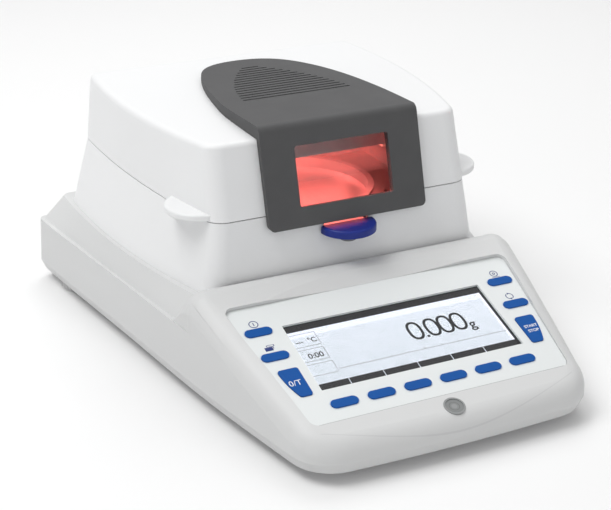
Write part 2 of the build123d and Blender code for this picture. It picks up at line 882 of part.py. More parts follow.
for name, sign in (("tare_key", -1), ("start_key", 1)):
    with BuildPart() as key:
        add(corner_key_outline(sign, panel.offset(key_proud)))
        extrude(amount=key_proud + membrane_thickness + key_travel, dir=-panel.z_dir)
        with BuildSketch(panel.offset(key_proud)):
            with Locations((sign * corner_key_u, corner_key_v)):
                Circle(key_stem_radius)
        extrude(amount=-key_proud - key_depth)
    write(key.part, name)

# Keypad membrane: the pale plate with an opening for each key and for the display.
with BuildPart() as keypad_membrane:
    add(membrane_outline())
    extrude(amount=membrane_thickness, dir=-panel.z_dir)
    with BuildSketch(panel):
        for name, u, v in key_places():
            with Locations((u, v)):
                SlotOverall(key_length + 2 * key_gap, key_width + 2 * key_gap)
        with Locations((0, (lcd_bottom_v + lcd_top_v) / 2)):
            Rectangle(2 * lcd_half_width, lcd_top_v - lcd_bottom_v)
    extrude(amount=-membrane_thickness, mode=Mode.SUBTRACT)
    for sign in (-1, 1):
        add(corner_key_outline(sign, panel, key_gap))
    extrude(amount=membrane_thickness, dir=-panel.z_dir, mode=Mode.SUBTRACT)
write(keypad_membrane.part, "keypad_membrane")

# Display: clear pane in the membrane, the module behind it and the switch board under both.
with BuildPart() as display_window:
    with BuildSketch(panel):
        with Locations((0, (lcd_bottom_v + lcd_top_v) / 2)):
            Rectangle(2 * (lcd_half_width - glass_gap), lcd_top_v - lcd_bottom_v - 2 * glass_gap)
    extrude(amount=-membrane_thickness)
write(display_window.part, "display_window")

with BuildPart() as lcd_module:
    with BuildSketch(panel.offset(-membrane_thickness)):
        with Locations((0, (lcd_bottom_v + lcd_top_v) / 2)):
            Rectangle(2 * (lcd_half_width - 1), lcd_top_v - lcd_bottom_v - 2)
    extrude(amount=-(switch_depth - membrane_thickness))
write(lcd_module.part, "lcd_module")

with BuildPart() as display_board:
    with BuildSketch(board_plane):
        with Locations((0, (membrane_top_v + membrane_bottom_v) / 2 - 1)):
            Rectangle(2 * (membrane_bottom_half + 6), membrane_top_v - membrane_bottom_v - 14)
    extrude(amount=-board_thickness)
write(display_board.part, "display_board")

# Spirit level: a ring let into the front bezel with its vial.
with BuildPart() as level_ring:
    with BuildSketch(panel.offset(level_proud)):
        with Locations((0, level_v)):
            Circle(level_radius + level_ring_wall)
            Circle(level_radius, mode=Mode.SUBTRACT)
    extrude(amount=-level_depth)
write(level_ring.part, "level_ring")

with BuildPart() as level_vial:
    with BuildSketch(panel.offset(level_proud - vial_sink)):
        with Locations((0, level_v)):
            Circle(level_radius)
    extrude(amount=vial_sink - level_depth)
write(level_vial.part, "level_vial")

# Weighing cell on its standoffs, with its magnet pot and the boards beside it.
with BuildPart() as weigh_cell:
    add(box((0, cell_y), plate_top + standoff_height, (cell_width, cell_length, cell_height)))
    for sx in (-1, 1):
        for sy in (-1, 1):
            place = (sx * (cell_width / 2 - 6), cell_y + sy * (cell_length / 2 - 6))
            add(disc(place, plate_top, 4, standoff_height))
write(weigh_cell.part, "weigh_cell")

write(disc((0, cell_y + cell_length / 2 + magnet_radius + 1), plate_top, magnet_radius, magnet_height),
      "cell_magnet")

with BuildPart() as main_board:
    add(box((0, main_board_y - board_length / 2), plate_top + standoff_height,
            (board_width, board_length, board_thickness)))
    for sx in (-1, 1):
        for sy in (-1, 1):
            place = (sx * (board_width / 2 - 5), main_board_y - board_length / 2 + sy * (board_length / 2 - 5))
            add(disc(place, plate_top, spacer_radius, standoff_height))
write(main_board.part, "main_board")

write(box((supply_x, supply_y), plate_top, (supply_width, supply_length, supply_height)), "power_supply")

# Rear connections: mains inlet with its fuse drawer, serial and USB sockets.
rear_inner = y_rear - wall
with BuildPart() as power_inlet:
    add(box((inlet_x, y_rear - inlet_depth / 2), inlet_z - inlet_height / 2,
            (inlet_width, inlet_depth, inlet_height)))
    add(box((inlet_x, y_rear - inlet_recess / 2), inlet_z - inlet_height / 2 + inlet_wall,
            (inlet_width - 2 * inlet_wall, inlet_recess, inlet_height - 2 * inlet_wall)),
        mode=Mode.SUBTRACT)
write(power_inlet.part, "power_inlet")

with BuildPart() as inlet_pins:
    for place in (-1, 0, 1):
        rise = pin_rise if place == 0 else -pin_rise
        add(box((inlet_x + place * pin_spread, y_rear - inlet_recess + pin_size[1] / 2),
                inlet_z + rise - pin_size[2] / 2, pin_size))
write(inlet_pins.part, "inlet_pins")

with BuildPart() as serial_port:
    add(box((port_x, y_rear - port_depth / 2), inlet_z - port_height / 2,
            (port_width, port_depth, port_height)))
    add(box((port_x, y_rear - port_recess / 2), inlet_z - port_height / 2 + inlet_wall,
            (port_width - 2 * port_lip, port_recess, port_height - 2 * inlet_wall)), mode=Mode.SUBTRACT)
write(serial_port.part, "serial_port")

with BuildPart() as usb_port:
    add(box((usb_x, y_rear - port_depth / 2), inlet_z - usb_height / 2, (usb_width, port_depth, usb_height)))
    add(box((usb_x, y_rear - usb_recess / 2), inlet_z - usb_height / 2 + usb_wall,
            (usb_width - 2 * usb_wall, usb_recess, usb_height - 2 * usb_wall)), mode=Mode.SUBTRACT)
write(usb_port.part, "usb_port")

# Feet: two rubber feet at the front, two knurled levelling feet at the rear.
with BuildPart() as front_feet:
    for place in front_feet_places:
        add(disc(place, 0, front_foot_radius, housing_bottom))
    fillet(front_feet.edges().group_by(Axis.Z)[0], 1)
write(front_feet.part, "front_feet")

for side, place in zip(("left", "right"), feet_places):
    with BuildPart() as foot:
        add(disc(place, 0, level_foot_radius - 3, level_foot_pad))
        with BuildSketch(Plane.XY.offset(level_foot_pad)):
            with Locations(place):
                Circle(level_foot_radius)
                with PolarLocations(level_foot_radius + 0.6, level_foot_lobes):
                    Circle(1.2, mode=Mode.SUBTRACT)
        extrude(amount=level_foot_height - level_foot_pad - 1.4)
        add(disc(place, level_foot_height - 2.4, foot_stud_radius, stud_engagement + 4))
    write(foot.part, f"rear_foot_{side}")

# Screws that hold the base plate.
with BuildPart() as plate_screws:
    for place in screw_places:
        add(disc(place, housing_bottom - screw_head_height, screw_head_radius, screw_head_height))
        add(disc(place, housing_bottom, screw_radius, screw_length))
write(plate_screws.part, "plate_screws")
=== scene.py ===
import math
import bmesh
import bpy
from mathutils import Matrix, Vector


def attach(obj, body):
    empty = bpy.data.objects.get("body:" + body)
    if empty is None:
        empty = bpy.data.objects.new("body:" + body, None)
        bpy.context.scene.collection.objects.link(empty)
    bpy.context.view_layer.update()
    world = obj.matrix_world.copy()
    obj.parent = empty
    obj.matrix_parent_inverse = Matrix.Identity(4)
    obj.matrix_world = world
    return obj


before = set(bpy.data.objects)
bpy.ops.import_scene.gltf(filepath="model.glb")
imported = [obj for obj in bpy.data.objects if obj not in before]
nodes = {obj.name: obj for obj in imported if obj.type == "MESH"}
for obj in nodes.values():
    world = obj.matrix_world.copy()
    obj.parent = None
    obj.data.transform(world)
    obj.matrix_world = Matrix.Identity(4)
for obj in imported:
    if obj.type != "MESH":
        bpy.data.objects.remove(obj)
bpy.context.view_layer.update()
scene = bpy.context.scene
mm = 0.001


# Studio: a sweep of white card, curved up behind the instrument, under two large soft
# lamps, at its left and behind it, and a weak one in front. The card glows a little
# towards the camera, so that it stays just short of white.
class Wire:
    """One socket of a shader. Arithmetic on it adds the Math nodes it needs."""

    def __init__(self, finish, socket):
        self.finish = finish
        self.socket = socket

    def maths(self, operation, *values):
        return self.finish.node("ShaderNodeMath", {"operation": operation}, dict(enumerate(values)))

    def __add__(self, other):
        return self.maths("ADD", self, other)

    def __radd__(self, other):
        return self.maths("ADD", other, self)

    def __sub__(self, other):
        return self.maths("SUBTRACT", self, other)

    def __rsub__(self, other):
        return self.maths("SUBTRACT", other, self)

    def __mul__(self, other):
        return self.maths("MULTIPLY", self, other)

    def __rmul__(self, other):
        return self.maths("MULTIPLY", other, self)

    def __lt__(self, other):
        return self.maths("LESS_THAN", self, other)

    def __gt__(self, other):
        return self.maths("GREATER_THAN", self, other)


class Finish:
    """A material under construction, with its shader and its pattern space."""

    def __init__(self, name, **constants):
        self.material = bpy.data.materials.new(name)
        self.material.use_nodes = True
        self.tree = self.material.node_tree
        self.shader = self.tree.nodes["Principled BSDF"]
        self.output = self.tree.nodes["Material Output"]
        for socket, value in constants.items():
            self.shader.inputs[socket.replace("_", " ")].default_value = value
        self.place = self.node("ShaderNodeTexCoord", {}, {}, "Object")

    def node(self, kind, settings, sockets, output=0):
        """Adds a node: its settings first, then the values or links of its sockets."""
        made = self.tree.nodes.new(kind)
        for name, value in settings.items():
            setattr(made, name, value)
        for name, value in sockets.items():
            socket = made.inputs[name]
            if isinstance(value, Wire):
                self.tree.links.new(value.socket, socket)
            else:
                socket.default_value = value
        return Wire(self, made.outputs[output])

    def feed(self, **links):
        """Links wires to the shader's own sockets."""
        for name, wire in links.items():
            self.tree.links.new(wire.socket, self.shader.inputs[name.replace("_", " ")])

    def noise(self, scale, detail=3.0):
        return self.node("ShaderNodeTexNoise", {}, {"Vector": self.place, "Scale": scale, "Detail": detail})

    def blend(self, share, low, high):
        """A colour between two, by a wire from 0 to 1."""
        return self.node("ShaderNodeMix", {"data_type": "RGBA"}, {0: share, 6: low, 7: high}, 2)

    def bump(self, height, strength, distance):
        normal = self.node(
            "ShaderNodeBump", {}, {"Height": height, "Strength": strength, "Distance": distance}, "Normal"
        )
        self.feed(Normal=normal)

    def axes(self):
        split = self.node("ShaderNodeSeparateXYZ", {}, {"Vector": self.place})
        parts = split.socket.node.outputs
        return [Wire(self, parts[index]) for index in range(3)]


def dress(finish, *names):
    """Gives CAD nodes one finish in place of the one they were packed with."""
    for name in names:
        mesh = nodes[name].data
        mesh.materials.clear()
        mesh.materials.append(finish.material)


def finish_object(name, mesh, finish, body):
    """Makes an object of a mesh, gives it a finish and lets it ride on a body."""
    thing = bpy.data.objects.new(name, mesh)
    scene.collection.objects.link(thing)
    mesh.materials.clear()
    mesh.materials.append(finish.material)
    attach(thing, body)
    return thing


stage_half = 3.0
bend_start = 2.2
bend_radius = 0.8
bend_steps = 24
card_top = 3.2
card_lift = 0.07
world_strength = 0.5
floor_mesh = bpy.data.meshes.new("studio_floor")
sweep = bmesh.new()
rows = []
for index in range(bend_steps + 1):
    turn = math.radians(90) * index / bend_steps
    y = bend_start + bend_radius * math.sin(turn)
    z = bend_radius * (1 - math.cos(turn))
    rows.append((y, z))
rows = [(-stage_half, 0.0)] + rows + [(stage_half, card_top)]
edges = []
for y, z in rows:
    edges.append([sweep.verts.new((x, y, z)) for x in (-stage_half, stage_half)])
for low, high in zip(edges, edges[1:]):
    sweep.faces.new((low[0], low[1], high[1], high[0]))
sweep.to_mesh(floor_mesh)
sweep.free()
floor = bpy.data.objects.new("studio_floor", floor_mesh)
scene.collection.objects.link(floor)
floor_finish = Finish(
    "studio_white", Base_Color=(0.83, 0.83, 0.83, 1), Roughness=0.95, Specular_IOR_Level=0.0, Emission_Strength=1.0
)
seen = floor_finish.node("ShaderNodeLightPath", {}, {}, "Is Camera Ray")
mirrored = floor_finish.node("ShaderNodeLightPath", {}, {}, "Is Glossy Ray")
through = floor_finish.node("ShaderNodeLightPath", {}, {}, "Is Transmission Ray")
floor_finish.feed(
    Emission_Color=floor_finish.blend(
        seen + mirrored + through, (0, 0, 0, 1), (card_lift, card_lift, card_lift, 1)
    )
)
floor_mesh.materials.append(floor_finish.material)
for face in floor_mesh.polygons:
    face.use_smooth = True

world = bpy.data.worlds.new("studio_world")
scene.world = world
world.use_nodes = True
sky = world.node_tree.nodes["Background"]
sky.inputs["Color"].default_value = (1, 1, 1, 1)
sky.inputs["Strength"].default_value = world_strength


def lamp(name, spot, target, size, power):
    """A soft rectangular lamp at a spot, turned towards its target."""
    light = bpy.data.lights.new(name, "AREA")
    light.shape = "RECTANGLE"
    light.size = size
    light.size_y = size
    light.energy = power
    holder = bpy.data.objects.new(name, light)
    scene.collection.objects.link(holder)
    direction = Vector(target) - Vector(spot)
    aimed = direction.to_track_quat("-Z", "Y").to_matrix().to_4x4()
    holder.matrix_world = Matrix.Translation(Vector(spot)) @ aimed


lamp("key_lamp", spot=(-0.75, 0.1, 1.55), target=(0, 0, 0.05), size=0.9, power=15)
lamp("back_lamp", spot=(0.5, 0.85, 1.4), target=(0, 0, 0.05), size=0.9, power=7)
lamp("fill_lamp", spot=(0.2, -1.6, 0.8), target=(0, 0, 0.08), size=1.2, power=2.2)

camera_azimuth = math.radians(-26.0)
camera_elevation = math.radians(23.3)
camera_spot = Vector((-0.3726, -0.7392, 0.4096))
camera_lens = 87.84
camera_film = 36
right = Vector((math.cos(camera_azimuth), math.sin(camera_azimuth), 0))
back = Vector(
    (
        math.sin(camera_azimuth) * math.cos(camera_elevation),
        -math.cos(camera_azimuth) * math.cos(camera_elevation),
        math.sin(camera_elevation),
    )
)
up = back.cross(right)
camera = bpy.data.cameras.new("photo_camera")
camera.lens = camera_lens
camera.sensor_width = camera_film
camera_holder = bpy.data.objects.new("photo_camera", camera)
turned = Matrix((right, up, back)).transposed().to_4x4()
camera_holder.matrix_world = Matrix.Translation(camera_spot) @ turned
scene.collection.objects.link(camera_holder)
scene.camera = camera_holder
scene.view_settings.view_transform = "Standard"

# Base housing: one large injection moulding in ABS, spark-eroded to a fine even grain. Its grey is partly the
# plastic's own pale grey and partly painted shade, set darker than the chamber's white for the ledge and sides.
# Along its front lip a thin line that follows the nose is painted darker as shading, where the top turns down into
# it, over a shallow bump groove.
panel_tilt = math.radians(17.8)
panel_origin = Vector((0, -134.5, 32)) * mm
lip_middle = -0.0325
lip_rise = 2.6
lip_half = 0.077
lip_width = 0.0003
lip_behind = -0.12
# Share and grey of the painted shading line along the lip.
lip_shading_share = 0.35
lip_shading_tone = (0.5, 0.5, 0.51, 1)
drift_scale = 9
grain_scale = 2400
grain_depth = 0.0002
# The base's two greys: its own pale grey, set darker still as painted shade.
base_grey_and_shade_light = (0.675, 0.68, 0.68, 1)
base_grey_and_shade_dark = (0.645, 0.65, 0.65, 1)


def on_panel(u, v, lift=0.0):
    """A place on the sloping panel, in millimetres across, up and out of it."""
    across = Vector((1, 0, 0))
    along = Vector((0, math.cos(panel_tilt), math.sin(panel_tilt)))
    outward = Vector((0, -math.sin(panel_tilt), math.cos(panel_tilt)))
    return panel_origin + (across * u + along * v + outward * lift) * mm


def moulded(name, light, dark, roughness, grain):
    """A moulded plastic: slow tone drift, a fine eroded grain and a little sheen."""
    finish = Finish(name, Roughness=roughness, Specular_IOR_Level=0.35)
    finish.feed(Base_Color=finish.blend(finish.noise(drift_scale, 2), dark, light))
    finish.bump(finish.noise(grain_scale, 2), grain, grain_depth)
    return finish


base_finish = Finish("eroded_base", Roughness=0.46, Specular_IOR_Level=0.35)
x, y, z = base_finish.axes()
along_panel = (y - panel_origin.y) * math.cos(panel_tilt) + (z - panel_origin.z) * math.sin(panel_tilt)
bow = x * x * lip_rise
from_line = along_panel - lip_middle - bow
# A thin band along the lip where the top turns into the nose: painted darker as shading, and also pressed in as a
# shallow bump.
lip_band_mask = (from_line < lip_width) * (from_line > -lip_width) * (x < lip_half) * (x > -lip_half)
painted_lip_shading = lip_band_mask * (y < lip_behind)
# Base colour drifts at random between the two greys, which carry painted shade.
tone = base_finish.blend(base_finish.noise(drift_scale, 2), base_grey_and_shade_dark, base_grey_and_shade_light)
base_finish.feed(Base_Color=base_finish.blend(painted_lip_shading * lip_shading_share, tone, lip_shading_tone))
base_finish.bump(base_finish.noise(grain_scale, 2) - painted_lip_shading, 0.08, grain_depth)
dress(base_finish, "base_housing")

# Shoulders: where the console's rim runs out beside the chamber, the moulding sweeps down
# in a hollow curve to the ledge, flush with the base's side. Each sweep starts just under
# the rim's own surface, keeps its level as far as the hold, and then falls.
shoulder_front = -47.0
shoulder_hold = -39.0
crest_level = -42.5
shoulder_rear = -20.0
rim_crest = 62.7
rim_slope = 0.321
rim_round = 12.0
ledge_high = (89.0, 55.4)
ledge_low = 42.0
ledge_slope = 0.88
side_at = (-62.0, 102.35)
side_taper = 0.1227
corner_centre = (75.0, -22.0)
corner_round = 11.0
sweep_lead = 16.0
shoulder_steps = 22
shoulder_foot = 40.6
ledge_sunk = 0.4
side_sunk = 0.04
corner_overlap = 1


def shoulder_sweep(sign):
    """One shoulder's mesh: a curved top over a flat foot, closed all round."""
    shape = bmesh.new()
    sheets = []
    for is_top in (True, False):
        sheet = []
        for row in range(shoulder_steps + 1):
            y = shoulder_front + (shoulder_rear - shoulder_front) * row / shoulder_steps
            outer = side_at[1] + side_taper * (y - side_at[0]) - side_sunk
            reach = corner_round ** 2 - (y - corner_centre[1]) ** 2
            inner = corner_centre[0] - corner_overlap + math.sqrt(max(reach, 0.0))
            fall = max(y - shoulder_hold, 0.0) / (shoulder_rear - shoulder_hold)
            crest = rim_crest + rim_slope * (min(y, crest_level) - shoulder_front)
            share = 1 - fall * fall * (3 - 2 * fall)
            line = []
            for column in range(shoulder_steps + 1):
                x = inner + (outer - inner) * column / shoulder_steps
                past = max(x - (outer - rim_round), 0.0)
                crown = crest - rim_round + math.sqrt(max(rim_round ** 2 - past * past, 0.0))
                ledge = max(ledge_high[1] - (x - ledge_high[0]) * ledge_slope, ledge_low)
                ledge = min(ledge, ledge_high[1]) - ledge_sunk
                lead = min(max(x - corner_centre[0], 0.0) / sweep_lead, 1.0)
                height = ledge + (crown - ledge) * share * lead if is_top else shoulder_foot
                line.append(shape.verts.new((sign * x * mm, y * mm, height * mm)))
            sheet.append(line)
        sheets.append(sheet)
    for sheet in sheets:
        for low, high in zip(sheet, sheet[1:]):
            for index in range(shoulder_steps):
                shape.faces.new((low[index], low[index + 1], high[index + 1], high[index]))
    top, foot = sheets
    edges = [
        (top[0], foot[0]),
        (top[-1], foot[-1]),
        ([line[0] for line in top], [line[0] for line in foot]),
        ([line[-1] for line in top], [line[-1] for line in foot]),
    ]
    for high, low in edges:
        for index in range(shoulder_steps):
            shape.faces.new((low[index], low[index + 1], high[index + 1], high[index]))
    bmesh.ops.recalc_face_normals(shape, faces=shape.faces)
    return shape


for side, sign in (("left", -1), ("right", 1)):
    mesh = bpy.data.meshes.new(f"shoulder_{side}")
    shape = shoulder_sweep(sign)
    shape.to_mesh(mesh)
    shape.free()
    top_faces = shoulder_steps * shoulder_steps
    for face in mesh.polygons[:top_faces]:
        face.use_smooth = True
    finish_object(f"shoulder_{side}", mesh, base_finish, "base")

# Base plate: a zinc-plated steel pan closed over the underside with four pan-head screws,
# each with a pressed cross recess.
steel_light = (0.60, 0.60, 0.61, 1)
steel_dark = (0.42, 0.42, 0.43, 1)


def metal(name, light, dark, roughness, stretch):
    """A sheet or turned metal with its grain drawn out along the part."""
    finish = Finish(name, Metallic=1.0)
    along = finish.node("ShaderNodeMapping", {}, {"Vector": finish.place, "Scale": stretch})
    grain = finish.node("ShaderNodeTexNoise", {}, {"Vector": along, "Scale": 1.0, "Detail": 2.0})
    finish.feed(Base_Color=finish.blend(grain, dark, light), Roughness=grain * 0.2 + roughness)
    return finish


steel_finish = metal("brushed_steel", steel_light, steel_dark, 0.25, (30, 900, 900))
dress(steel_finish, "base_plate", "plate_screws")

# Feet: two moulded rubber pads in front and two knurled grey nylon wheels behind, which
# turn on their studs to level the instrument.
rubber_finish = Finish("foot_rubber", Roughness=0.8)
rubber_finish.feed(
    Base_Color=rubber_finish.blend(rubber_finish.noise(150, 3), (0.02, 0.02, 0.02, 1), (0.035, 0.035, 0.035, 1))
)
rubber_finish.bump(rubber_finish.noise(900, 2), 0.2, 0.0003)
dress(rubber_finish, "front_feet")
wheel_finish = moulded("wheel_nylon", (0.62, 0.62, 0.62, 1), (0.52, 0.52, 0.52, 1), 0.5, 0.1)
dress(wheel_finish, "rear_foot_left", "rear_foot_right")

# Weighing cell and boards: a milled aluminium flexure with its magnet pot on standoffs,
# between two green laminate boards and the folded steel can of the power supply.
aluminium_finish = metal("milled_aluminium", (0.80, 0.80, 0.81, 1), (0.66, 0.66, 0.67, 1), 0.28, (700, 40, 700))
dress(aluminium_finish, "weigh_cell", "sample_pan")
dress(steel_finish, "cell_magnet", "power_supply", "pan_holder")
board_finish = Finish("board_laminate", Roughness=0.45)
weave = board_finish.noise(1200, 2)
board_finish.feed(Base_Color=board_finish.blend(weave, (0.01, 0.10, 0.05, 1), (0.02, 0.16, 0.08, 1)))
board_finish.bump(weave, 0.1, 0.0001)
dress(board_finish, "main_board", "display_board")

# Rear sockets: a black glass-filled appliance inlet with three bright blades, and two
# plated signal sockets in their steel shells.
inlet_finish = moulded("inlet_black", (0.02, 0.02, 0.02, 1), (0.012, 0.012, 0.012, 1), 0.5, 0.15)
dress(inlet_finish, "power_inlet")
dress(steel_finish, "inlet_pins", "serial_port", "usb_port")

# Keypad: a pale polyester foil, printed on its rear face and let into the console. A thin grey strip along its
# lower edge is painted shadow, for the shade in its joint with the console, and each key has a faint printed
# surround.
foil_light = (0.775, 0.80, 0.80, 1)
foil_dark = (0.745, 0.772, 0.772, 1)
foil_half_low = 78.6
foil_low = -11.6
soft_key_pitch = 22
soft_key_size = (16, 5.8)
surround = 0.7
print_lift = 0.03
print_depth = 0.02
side_keys = ((77.3, 62), (76.2, 42))
painted_shadow_inset = 1.2
painted_shadow_span = (0.1, 0.6)
surround_gap = 0.1


def slab(target, outline, lift, depth, hole=None):
    """Adds a thin patch to a mesh, printed mark and painted shadow alike: an outline on the panel, with or without
    a hole.
    """
    inner = hole or []
    rims = []
    for level in (lift, lift - depth):
        rims.append([target.verts.new(on_panel(u, v, level)) for u, v in outline])
        rims.append([target.verts.new(on_panel(u, v, level)) for u, v in inner])
    top, top_hole, low, low_hole = rims
    count = len(outline)
    for index in range(count):
        after = (index + 1) % count
        target.faces.new((low[index], low[after], top[after], top[index]))
        if hole:
            target.faces.new((low_hole[after], low_hole[index], top_hole[index], top_hole[after]))
            target.faces.new((top[index], top[after], top_hole[after], top_hole[index]))
            target.faces.new((low[after], low[index], low_hole[index], low_hole[after]))
    if not hole:
        target.faces.new(top)
        target.faces.new(list(reversed(low)))


def bar(left, low, right, high):
    """The corners of an upright bar on the panel."""
    return [(left, low), (right, low), (right, high), (left, high)]


def capsule(u, v, length, height, points=8):
    """The outline of a bar with round ends."""
    radius = height / 2
    outline = []
    for side in (1, -1):
        for index in range(points + 1):
            turn = math.radians(-90 + 180 * index / points)
            outline.append(
                (
                    u + side * (length / 2 - radius + radius * math.cos(turn)),
                    v + side * radius * math.sin(turn),
                )
            )
    return outline


def ellipse(u, v, half_width, half_height, power=2.0, points=40):
    """The outline of a round or squarish patch."""
    outline = []
    for index in range(points):
        turn = 2 * math.pi * index / points
        c, s = math.cos(turn), math.sin(turn)
        outline.append(
            (
                u + half_width * math.copysign(abs(c) ** (2 / power), c),
                v + half_height * math.copysign(abs(s) ** (2 / power), s),
            )
        )
    return outline


def laid_patches(name, patches, finish, lift=print_lift):
    """Makes one thin piece of several patches, each an outline or a pair with its hole: printed marks, display
    segments and the painted shadow line.
    """
    sheet = bmesh.new()
    for patch in patches:
        outline, hole = patch if isinstance(patch, tuple) else (patch, None)
        slab(sheet, outline, lift, print_depth, hole)
    mesh = bpy.data.meshes.new(name)
    sheet.to_mesh(mesh)
    sheet.free()
    return finish_object(name, mesh, finish, "base")


foil_finish = Finish("keypad_foil", Roughness=0.4, Specular_IOR_Level=0.35)
foil_finish.feed(Base_Color=foil_finish.blend(foil_finish.noise(14, 2), foil_dark, foil_light))
foil_finish.bump(foil_finish.noise(3200, 2), 0.05, 0.0001)
dress(foil_finish, "keypad_membrane")


def flat_colour(name, light, dark, roughness=0.45):
    """A flat colour, faintly uneven: screen-printed inks, and also the painted shadow line under the keypad."""
    finish = Finish(name, Roughness=roughness, Specular_IOR_Level=0.3)
    finish.feed(Base_Color=finish.blend(finish.noise(400, 2), dark, light))
    return finish


# Painted shadow: a thin grey strip along the foil's lower edge, standing for the shade in its joint with the
# console.
painted_shadow_finish = flat_colour("painted_shadow_line", (0.24, 0.25, 0.25, 1), (0.19, 0.20, 0.20, 1))
laid_patches(
    "keypad_painted_shadow",
    [
        bar(
            -foil_half_low + painted_shadow_inset,
            foil_low + painted_shadow_span[0],
            foil_half_low - painted_shadow_inset,
            foil_low + painted_shadow_span[1],
        )
    ],
    painted_shadow_finish,
)
surround_ink = flat_colour("key_surround_ink", (0.66, 0.72, 0.80, 1), (0.62, 0.68, 0.77, 1))
soft_keys = [((index - 2.5) * soft_key_pitch, 0) for index in range(6)]
side_places = [(sign * u, v) for sign in (-1, 1) for u, v in side_keys]
laid_patches(
    "key_surrounds",
    [
        (
            capsule(u, v, soft_key_size[0] + 2 * surround, soft_key_size[1] + 2 * surround),
            capsule(u, v, soft_key_size[0] + 2 * surround_gap, soft_key_size[1] + 2 * surround_gap),
        )
        for u, v in soft_keys + side_places
    ],
    surround_ink,
)

# Key symbols: four small navy signs, screen-printed on the foil above the side keys.
# They stand for power, sheets, a dial on its base and a pair of turning arrows.
navy_ink = flat_colour("symbol_navy_ink", (0.02, 0.04, 0.20, 1), (0.012, 0.03, 0.16, 1))
symbol_rise = 6.9
ring_size = 2.5
dial_size = ring_size - 0.2
dial_hub = 0.7
arrow_size = ring_size - 0.3
stroke = 0.5


def arc_band(u, v, radius, width, start, end, points=16):
    """A bent stroke from one angle to another, in degrees."""
    outer = []
    inner = []
    for index in range(points + 1):
        turn = math.radians(start + (end - start) * index / points)
        outer.append((u + (radius + width / 2) * math.cos(turn), v + (radius + width / 2) * math.sin(turn)))
        inner.append((u + (radius - width / 2) * math.cos(turn), v + (radius - width / 2) * math.sin(turn)))
    return outer + inner[::-1]


def rim_pair(u, v, half_width, half_height, width, power=2.0):
    """A round stroke: its outer outline and the hole in it."""
    outer = ellipse(u, v, half_width + width / 2, half_height + width / 2, power)
    hole = ellipse(u, v, half_width - width / 2, half_height - width / 2, power)
    return outer, hole


power_u, power_v = -side_keys[0][0], side_keys[0][1] + symbol_rise
sheets_u, sheets_v = -side_keys[1][0], side_keys[1][1] + symbol_rise
dial_u, dial_v = side_keys[0][0], side_keys[0][1] + symbol_rise
turn_u, turn_v = side_keys[1][0], side_keys[1][1] + symbol_rise
laid_patches(
    "key_symbols",
    [
        rim_pair(power_u, power_v, ring_size, ring_size, stroke),
        bar(power_u - stroke / 2, power_v - 1.2, power_u + stroke / 2, power_v + 1.3),
        bar(sheets_u - 3.0, sheets_v - 1.9, sheets_u + 1.6, sheets_v + 0.9),
        (
            bar(sheets_u - 1.4, sheets_v + 1.1, sheets_u + 3.2, sheets_v + 2.5),
            bar(sheets_u - 1.0, sheets_v + 1.4, sheets_u + 2.8, sheets_v + 2.2),
        ),
        bar(sheets_u + 1.9, sheets_v - 0.8, sheets_u + 2.3, sheets_v + 1.1),
        rim_pair(dial_u, dial_v + 0.3, dial_size, dial_size, stroke),
        rim_pair(dial_u, dial_v + 0.3, dial_hub, dial_hub, stroke),
        bar(dial_u - 2.6, dial_v - 2.9, dial_u + 2.6, dial_v - 2.6),
        arc_band(turn_u, turn_v, arrow_size, stroke, -60, 80),
        arc_band(turn_u, turn_v, arrow_size, stroke, 120, 260),
        [(turn_u - 0.5, turn_v + 1.4), (turn_u + 1.0, turn_v + 2.2), (turn_u - 0.5, turn_v + 3.0)],
        [(turn_u + 0.5, turn_v - 1.4), (turn_u - 1.0, turn_v - 2.2), (turn_u + 0.5, turn_v - 3.0)],
    ],
    navy_ink,
)

# Keys: twelve caps moulded in satin blue polycarbonate, which press into the keypad. The
# two corner keys carry their function, printed in white.
key_finish = Finish("key_blue", Roughness=0.5, Specular_IOR_Level=0.15)
key_finish.feed(
    Base_Color=key_finish.blend(key_finish.noise(120, 3), (0.002, 0.076, 0.32, 1), (0.003, 0.088, 0.36, 1))
)
key_finish.bump(key_finish.noise(2000, 2), 0.05, 0.0002)
dress(key_finish, *[name for name in nodes if "_key" in name])
legend_ink = flat_colour("legend_white_ink", (0.86, 0.87, 0.88, 1), (0.80, 0.81, 0.82, 1))
key_top = 0.7


def words(name, rows, finish, body="base", weight=0.0):
    """Flat lettering on the panel: rows of text, place, height and lift in one mesh.

    The weight is how far each stroke is thickened, as a share of the letter's height.
    """
    joined = bmesh.new()
    for text, u, v, height, lift in rows:
        curve = bpy.data.curves.new(name, "FONT")
        curve.body = text
        curve.size = height
        curve.offset = height * weight
        curve.align_x = "CENTER"
        curve.align_y = "CENTER"
        holder = bpy.data.objects.new(name, curve)
        flat = bpy.data.meshes.new_from_object(holder)
        for vertex in flat.vertices:
            vertex.co = on_panel(u + vertex.co.x, v + vertex.co.y, lift)
        joined.from_mesh(flat)
        bpy.data.objects.remove(holder)
        bpy.data.curves.remove(curve)
        bpy.data.meshes.remove(flat)
    mesh = bpy.data.meshes.new(name)
    joined.to_mesh(mesh)
    joined.free()
    return finish_object(name, mesh, finish, body)


legend_lift = key_top + print_lift
words("tare_legend", [("0/T", -74.4, 19.9, 5.4, legend_lift)], legend_ink, "tare_key")
words(
    "start_legend",
    [("START", 74.2, 22.3, 2.9, legend_lift), ("STOP", 74.0, 18.6, 2.9, legend_lift)],
    legend_ink,
    "start_key",
    weight=0.018,
)

